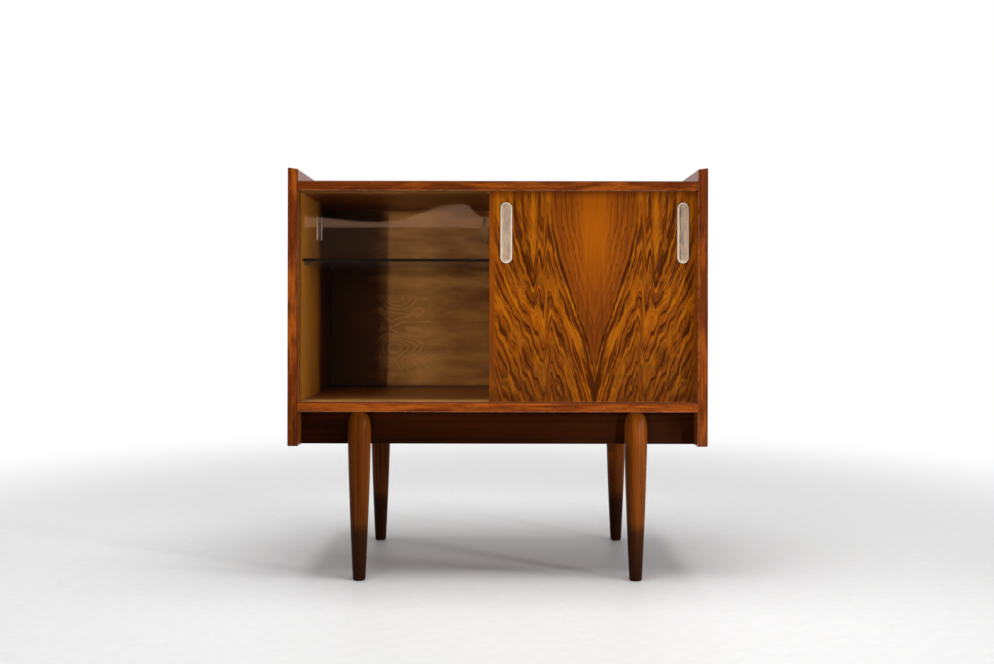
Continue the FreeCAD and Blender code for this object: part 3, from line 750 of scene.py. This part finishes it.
class CABINET_OT_case(bpy.types.Operator):
    """Finish the boards, front edges and aprons"""
    bl_idname = "cabinet.case"
    bl_label = "Case"

    def execute(self, context):
        finishes = context.scene.cabinet_finishes
        for seed, hand in enumerate(("left", "right")):
            dress(f"{hand}_side_panel", side_veneer(f"{hand}_side_veneer", finishes, 1.7 + 4 * seed))
            edge = f"{hand}_side_lipping"
            dress(edge, lipping_wood(edge, finishes, True, -0.06 * seed, 2.3 + 5 * seed))
        dress("top_panel", board_veneer("top_veneer", finishes, finishes.inner_top, 11.1))
        dress("bottom_panel", board_veneer("bottom_veneer", finishes, finishes.inner_floor, 14.1))
        dress("top_lipping", lipping_wood("top_lipping", finishes, False, 0.02, 27.4))
        dress("bottom_lipping", lipping_wood("bottom_lipping", finishes, False, 0.05, 13.9))
        for seed, place in enumerate(("front", "rear")):
            dress(f"{place}_apron", apron_wood(f"{place}_apron_wood", finishes, 21.3 + 2 * seed))
        beech = bare_beech(finishes)
        for node in ("glue_blocks", "carcass_dowels", "apron_dowels"):
            dress(node, beech)
        return {"FINISHED"}


class CABINET_OT_back(bpy.types.Operator):
    """Finish the plywood back"""
    bl_idname = "cabinet.back"
    bl_label = "Back"

    def execute(self, context):
        dress("back_panel", back_plywood(context.scene.cabinet_finishes))
        return {"FINISHED"}


class CABINET_OT_legs(bpy.types.Operator):
    """Finish the turned legs and what holds them"""
    bl_idname = "cabinet.legs"
    bl_label = "Legs"

    def execute(self, context):
        finishes = context.scene.cabinet_finishes
        for seed, node in enumerate(LEGS):
            dress(node, leg_wood(f"{node}_wood", finishes, node, 31.0 + 7 * seed))
        zinc = plated_steel("zinc_plate", finishes.zinc, 0.3)
        dress("leg_screws", zinc)
        dress("leg_washers", zinc)
        return {"FINISHED"}


class CABINET_OT_wood_door(bpy.types.Operator):
    """Finish the wooden door and its cup pulls"""
    bl_idname = "cabinet.wood_door"
    bl_label = "Wooden door"

    def execute(self, context):
        finishes = context.scene.cabinet_finishes
        dress("wood_door_panel", door_veneer(finishes))
        aluminium = satin_aluminium(finishes)
        for hand in ("left", "right"):
            dress(f"{hand}_cup_pull", aluminium)
        return {"FINISHED"}


class CABINET_OT_glass(bpy.types.Operator):
    """Finish the glass door, the shelf and its pins"""
    bl_idname = "cabinet.glass"
    bl_label = "Glass"

    def execute(self, context):
        finishes = context.scene.cabinet_finishes
        dress("glass_door_pane", clear_glass("door_glass", finishes.glass, PANE_DENSITY, in_thumb_grips))
        dress("glass_shelf", clear_glass("shelf_glass", finishes.shelf_glass, SHELF_DENSITY))
        dress("shelf_pins", plated_steel("nickel_plate", finishes.nickel, 0.2))
        return {"FINISHED"}


PIN_SIDES = 14
PIN_TOP = 0.72              # share of a pin's radius that its flat top has
PIN_SIZES = (0.85, 1.1)     # smallest and largest, as shares of the size asked for


def pin_tree(material):
    """Pins along a rectangle: a node group with named sizes."""
    tree = bpy.data.node_groups.new("panel_pins", "GeometryNodeTree")
    tree.interface.new_socket("Geometry", in_out="OUTPUT", socket_type="NodeSocketGeometry")
    for name in ("Width", "Height", "Spacing", "Head", "Thickness", "Behind", "Middle"):
        tree.interface.new_socket(name, in_out="INPUT", socket_type="NodeSocketFloat")
    tree.interface.new_socket("Seed", in_out="INPUT", socket_type="NodeSocketInt")
    build = Finish(tree)
    given = build.add("NodeGroupInput").outputs
    path = build.add("GeometryNodeCurvePrimitiveQuadrilateral")
    build.put(path.inputs["Width"], given["Width"])
    build.put(path.inputs["Height"], given["Height"])
    spots = build.add("GeometryNodeResampleCurve", mode="LENGTH")
    build.put(spots.inputs["Curve"], path.outputs[0])
    build.put(spots.inputs["Length"], given["Spacing"])
    head = build.add("GeometryNodeMeshCone")
    head.inputs["Vertices"].default_value = PIN_SIDES
    build.put(head.inputs["Radius Bottom"], given["Head"])
    build.put(head.inputs["Radius Top"], build.math("MULTIPLY", given["Head"], PIN_TOP))
    build.put(head.inputs["Depth"], given["Thickness"])
    size = build.add("FunctionNodeRandomValue", data_type="FLOAT")
    size.inputs[2].default_value, size.inputs[3].default_value = PIN_SIZES
    build.put(size.inputs["Seed"], given["Seed"])
    pins = build.add("GeometryNodeInstanceOnPoints")
    build.put(pins.inputs["Points"], spots.outputs[0])
    build.put(pins.inputs["Instance"], head.outputs["Mesh"])
    build.put(pins.inputs["Scale"], size.outputs[1])
    upright = build.add("GeometryNodeTransform")
    build.put(upright.inputs["Geometry"], pins.outputs[0])
    build.put(upright.inputs["Translation"], build.vector(0.0, given["Behind"], given["Middle"]))
    upright.inputs["Rotation"].default_value = (-math.pi / 2, 0.0, 0.0)
    real = build.add("GeometryNodeRealizeInstances")
    build.put(real.inputs[0], upright.outputs[0])
    painted = build.add("GeometryNodeSetMaterial")
    painted.inputs["Material"].default_value = material
    build.put(painted.inputs["Geometry"], real.outputs[0])
    build.put(build.add("NodeGroupOutput").inputs[0], painted.outputs[0])
    return tree


def from_nodes(name, tree, sizes):
    """A plain mesh object from a node group, with its inputs set by name."""
    maker = linked(name, bpy.data.meshes.new(name))
    modifier = maker.modifiers.new(name, "NODES")
    modifier.node_group = tree
    for item in tree.interface.items_tree:
        if item.in_out == "INPUT":
            modifier[item.identifier] = sizes[item.name]
    evaluated = maker.evaluated_get(bpy.context.evaluated_depsgraph_get())
    mesh = bpy.data.meshes.new_from_object(evaluated)
    maker.modifiers.clear()
    maker.data = mesh
    mesh.name = name
    return maker


class CABINET_OT_pins(bpy.types.Operator):
    """Drive the panel pins round the plywood back"""
    bl_idname = "cabinet.pins"
    bl_label = "Panel pins"

    def execute(self, context):
        pins = context.scene.cabinet_pins
        steel = plated_steel("pin_steel_dull", srgb(120, 112, 104), 0.4)
        board = TOP_HIGH.z - TOP_LOW.z
        sheet = BACK_HIGH - BACK_LOW
        rebate = BACK_HIGH.x - INNER_X
        made = from_nodes("back_panel_pins", pin_tree(steel), {
            "Width": sheet.x - rebate,
            "Height": sheet.z - board,
            "Spacing": pins.spacing,
            "Head": pins.head,
            "Thickness": pins.thickness,
            "Behind": BACK_HIGH.y,
            "Middle": (BACK_LOW.z + BACK_HIGH.z) / 2,
            "Seed": pins.seed,
        })
        if not made.data.polygons:
            raise RuntimeError("the panel pins came out empty")
        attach(made, "carcass")
        return {"FINISHED"}


def behind(into):
    """1 well behind the cabinet, where what shines shows the white background, and 0 elsewhere."""
    return into.step(0.5, 0.8)


def white_share(build, back):
    """1 on rays that see the white background: all of the camera's, and reflections on the far side."""
    rays = build.add("ShaderNodeLightPath").outputs
    mirrored = build.math("MAXIMUM", rays["Is Glossy Ray"], rays["Is Transmission Ray"])
    return build.math("MAXIMUM", rays["Is Camera Ray"], mirrored * back)


FLOOR_FADE = (0.7, 2.3)     # from the cabinet's middle
FRONT_FLOOR = (-0.6, -0.9)  # along Y


def floor_finish(stage):
    """Pale floor that keeps the shadow near the cabinet and fades to white further off. Well in front, only
    the camera sees it pale, so that it doesn't light the inside of the case."""
    surface = Surface("floor", Roughness=0.55)
    specks = surface.noise(surface.x / 0.02, surface.y / 0.02, 0.0, detail=3.0)
    pale = tuple(min(1.0, c * 1.03) for c in stage.floor)
    surface.show(surface.ramp(specks, (0.35, tuple(stage.floor)), (0.6, pale)))
    distance = (surface.x * surface.x + surface.y * surface.y).power(0.5)
    glow = surface.add("ShaderNodeEmission")
    white = white_share(surface, behind(surface.y))
    surface.put(glow.inputs["Strength"], white * (1.0 - stage.room) + stage.room)
    both = surface.add("ShaderNodeMixShader")
    rays = surface.add("ShaderNodeLightPath").outputs
    unseen = surface.y.step(*FRONT_FLOOR) * (1.0 - Field(surface, rays["Is Camera Ray"]))
    surface.put(both.inputs[0], distance.step(*FLOOR_FADE).either(unseen))
    surface.put(both.inputs[1], surface.shader.outputs[0])
    surface.put(both.inputs[2], glow.outputs[0])
    surface.put(surface.output.inputs["Surface"], both.outputs[0])
    return surface.material


def from_front(x, y, z):
    """A place counted from the middle of the case's front, at floor level."""
    return (x, CASE_FRONT + y, z)


def aimed(name, lamp, place, target):
    """Puts a lamp in the scene, pointing at a target."""
    thing = linked(name, lamp)
    thing.location = place
    thing.rotation_euler = (Vector(target) - Vector(place)).to_track_quat("-Z", "Y").to_euler()
    return thing


def area_lamp(name, place, target, size, power, spread=math.pi):
    """A soft lamp. Size is its width and height."""
    lamp = bpy.data.lights.new(name, "AREA")
    lamp.shape = "RECTANGLE"
    lamp.size, lamp.size_y = size
    lamp.energy = power
    lamp.spread = spread
    return aimed(name, lamp, place, target)


def spot_lamp(name, place, target, power, cone, blend=0.03, mirrored=False):
    """A hard lamp. Unless it is mirrored, gloss doesn't show it."""
    lamp = bpy.data.lights.new(name, "SPOT")
    lamp.energy = power
    lamp.spot_size = cone
    lamp.spot_blend = blend
    lamp.shadow_soft_size = 0.03
    thing = aimed(name, lamp, place, target)
    thing.visible_glossy = mirrored
    return thing


KEY_CONE = math.radians(74.8)
SMALL_LAMP = (0.2, 0.2)
SMALL_SPREAD = math.radians(60)
TOP_LAMP = (1.6, 1.2)
# Low beams on the front legs: height, where they come from, how wide they are and how soft their edge is
BEAM_HEIGHT = 0.18
BEAM_FROM = Vector((1.43, -2.05, 0.0))
BEAM_CONE = math.radians(7.0)
BEAM_BLEND = 0.5


def light_cabinet(stage):
    """A hard key on the left, small lamps on the right, a beam on each front leg and a wide lamp above."""
    # The key's cone is wide and aimed high, so that its lower edge runs level under the case
    spot_lamp("key", from_front(-1.26, -2.5, 0.78), from_front(0.0, 0.0, 2.2), stage.key_power, KEY_CONE)
    doors = from_front(-0.1, 0.0, 0.55)
    area_lamp("side", from_front(1.92, -1.09, 0.7), doors, SMALL_LAMP, stage.side_power, SMALL_SPREAD)
    area_lamp("edge", from_front(2.13, -0.53, 0.7), doors, SMALL_LAMP, stage.edge_power, SMALL_SPREAD)
    # A level beam from the right front meets each front leg and passes beside the rear ones
    for node, power in zip(LEGS, (stage.left_leg_power, stage.right_leg_power)):
        low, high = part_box(node)
        middle = Vector(((low.x + high.x) / 2, (low.y + high.y) / 2, BEAM_HEIGHT))
        spot_lamp(f"{node}_beam", middle + BEAM_FROM, middle, power, BEAM_CONE, BEAM_BLEND, mirrored=True)
    area_lamp("top", from_front(0.0, -0.15, 2.6), from_front(0.0, -0.15, 0.0), TOP_LAMP, stage.top_power)


# Bright wall that the glass door mirrors, by slope to the side and slope upwards
WALL_REACH = 0.22
WALL_TOP = 0.12
WALL_FOOT = (0.0836, 0.0868)
LOWER_WALL_FOOT = (0.04, 0.06)
LOWER_WALL_SHARE = 0.14     # of the bright wall's light
# Its upper edge, as shares of its reach and its top
WALL_CREST = [
    (0.0, 0.78), (0.10, 0.795), (0.137, 0.84), (0.17, 0.897), (0.27, 0.897), (0.31, 0.88), (0.395, 0.823),
    (0.475, 0.779), (0.58, 0.753), (0.69, 0.757), (0.79, 0.776), (0.89, 0.794), (1.0, 0.802),
]
WHITE = (1.0, 1.0, 1.0)
WARM = srgb(255, 198, 160)


def sky(stage):
    """White to the camera. For light and reflections it is a dim room in front, paler above and behind."""
    world = bpy.data.worlds.new("studio")
    bpy.context.scene.world = world
    world.use_nodes = True
    build = Finish(world.node_tree)
    output = build.add("ShaderNodeOutputWorld")
    split = build.add("ShaderNodeSeparateXYZ")
    build.put(split.inputs[0], build.add("ShaderNodeTexCoord").outputs["Generated"])
    across, into, up = (Field(build, socket) for socket in split.outputs)
    level = up.step(0.3, 0.8) * (stage.sky - stage.side_sky) + stage.side_sky
    dim = into.step(0.2, -0.3) * up.step(0.99, 0.8)
    level = level * (1.0 - dim) + dim * stage.room
    # A warm bright wall in the room, below a wavy edge, which the glass door mirrors over a dimmer one
    aside = across / into
    height = up / into * -1.0
    crest = build.curve(aside / WALL_REACH, WALL_CREST) * WALL_TOP
    facing = into.step(-0.1, -0.3) * aside.step(0.0, 0.012) * aside.step(WALL_REACH, WALL_REACH * 0.94)
    wall = (height - crest).step(0.0022, -0.0012) * height.step(*WALL_FOOT)
    lower = height.step(*reversed(WALL_FOOT)) * height.step(*LOWER_WALL_FOOT)
    warm = wall.either(lower * LOWER_WALL_SHARE) * facing
    level = level + warm * stage.panel
    light = build.add("ShaderNodeBackground")
    build.put(light.inputs["Strength"], level)
    white = build.add("ShaderNodeBackground")
    both = build.add("ShaderNodeMixShader")
    build.put(both.inputs[0], white_share(build, behind(into)))
    build.put(both.inputs[1], light.outputs[0])
    build.put(both.inputs[2], white.outputs[0])
    build.put(light.inputs["Color"], build.mix(warm.step(0.0, 0.1), WHITE, WARM))
    white.inputs["Color"].default_value = (*WHITE, 1.0)
    build.put(output.inputs["Surface"], both.outputs[0])


def photo_camera(stage):
    """A level camera at the photograph's viewpoint, shifted to its framing."""
    lens = bpy.data.cameras.new("camera")
    lens.sensor_width = SENSOR
    lens.lens = stage.focal_pixels * SENSOR / IMAGE_WIDTH
    lens.shift_x = (IMAGE_WIDTH / 2 - VANISHING_POINT[0]) / IMAGE_WIDTH
    lens.shift_y = (VANISHING_POINT[1] - IMAGE_HEIGHT / 2) / IMAGE_WIDTH
    camera = linked("camera", lens)
    camera.location = (stage.camera_x, CASE_FRONT - stage.camera_distance, stage.camera_height)
    camera.rotation_euler = (math.pi / 2, stage.camera_roll, 0.0)
    return camera


FLOOR_SIDES = 96


class CABINET_OT_stage(bpy.types.Operator):
    """Set up the floor, the lamps and the camera"""
    bl_idname = "cabinet.stage"
    bl_label = "Stage"

    def execute(self, context):
        stage = context.scene.cabinet_stage
        bpy.ops.mesh.primitive_circle_add(vertices=FLOOR_SIDES, radius=stage.floor_radius, fill_type="NGON")
        floor = context.object
        floor.name = "floor"
        floor.data.materials.append(floor_finish(stage))
        light_cabinet(stage)
        sky(stage)
        context.scene.camera = photo_camera(stage)
        context.scene.view_settings.view_transform = "Standard"
        return {"FINISHED"}


class CABINET_PT_panel(bpy.types.Panel):
    """Lists the cabinet's pieces and finishes"""
    bl_idname = "CABINET_PT_panel"
    bl_label = "Cabinet"
    bl_space_type = "VIEW_3D"
    bl_region_type = "UI"
    bl_category = "Cabinet"

    def draw(self, context):
        for operator in OPERATORS:
            self.layout.operator(operator.bl_idname)
        for group_name in GROUPS:
            group = getattr(context.scene, group_name)
            box = self.layout.box()
            for name in group.bl_rna.properties.keys():
                if name not in ("rna_type", "name"):
                    box.prop(group, name)


GROUPS = {
    "cabinet_finishes": CabinetFinishes,
    "cabinet_pins": CabinetPins,
    "cabinet_stage": CabinetStage,
}
OPERATORS = (
    CABINET_OT_case,
    CABINET_OT_back,
    CABINET_OT_legs,
    CABINET_OT_wood_door,
    CABINET_OT_glass,
    CABINET_OT_pins,
    CABINET_OT_stage,
)


def register():
    for kind in (*GROUPS.values(), *OPERATORS, CABINET_PT_panel):
        bpy.utils.register_class(kind)
    for name, kind in GROUPS.items():
        setattr(bpy.types.Scene, name, PointerProperty(type=kind))


def unregister():
    for name in GROUPS:
        delattr(bpy.types.Scene, name)
    for kind in (CABINET_PT_panel, *reversed(OPERATORS), *GROUPS.values()):
        bpy.utils.unregister_class(kind)


def main():
    register()
    bpy.ops.cabinet.case()
    bpy.ops.cabinet.back()
    bpy.ops.cabinet.legs()
    bpy.ops.cabinet.wood_door()
    bpy.ops.cabinet.glass()
    bpy.ops.cabinet.pins()
    bpy.ops.cabinet.stage()


if __name__ == "__main__":
    main()
